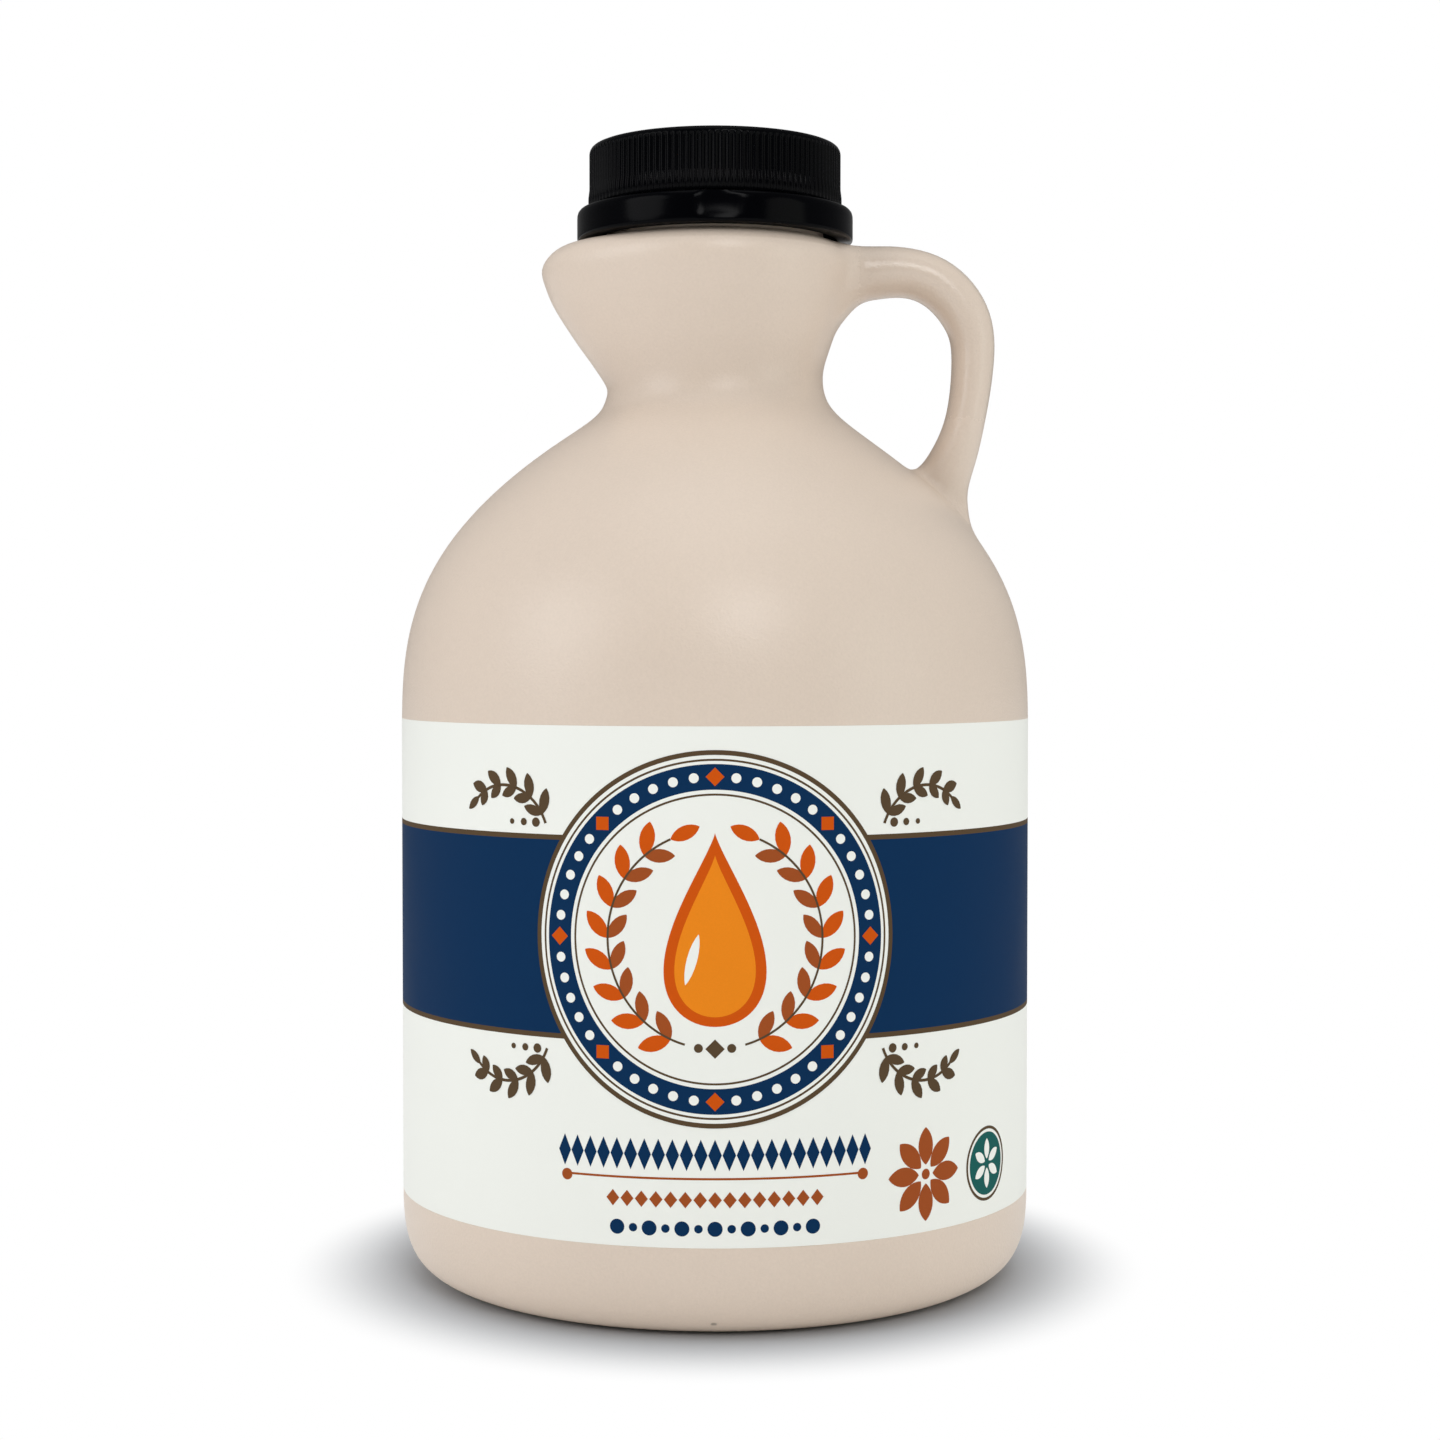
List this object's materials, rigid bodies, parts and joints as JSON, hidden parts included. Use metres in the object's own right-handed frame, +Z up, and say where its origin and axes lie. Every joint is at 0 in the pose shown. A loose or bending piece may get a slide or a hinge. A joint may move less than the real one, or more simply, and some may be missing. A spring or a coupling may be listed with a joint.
{
  "type": "syrup jug",
  "caption": "Full quart jug of syrup: round moulded jug with a pinched spout, a ring handle, a ribbed screw cap with tamper band, and a wrap-round label.",
  "frame": {"origin": "middle of the base, on the jug's axis, at the height it stands on", "axes": "+Z up the jug's axis; +X towards the handle; -X towards the spout; -Y is the front of the label"},
  "size_m": [0.1016, 0.1015, 0.1816],
  "materials": {
    "jug": "tan polyethylene, satin, with a very fine moulded grain",
    "cap": "black, semi-gloss",
    "band": "black, glossy",
    "label": null
  },
  "bodies": {
    "root": {"jug": "jug", "cap": "cap", "tamper_band": "band", "label": "label"}
  },
  "joints": []
}
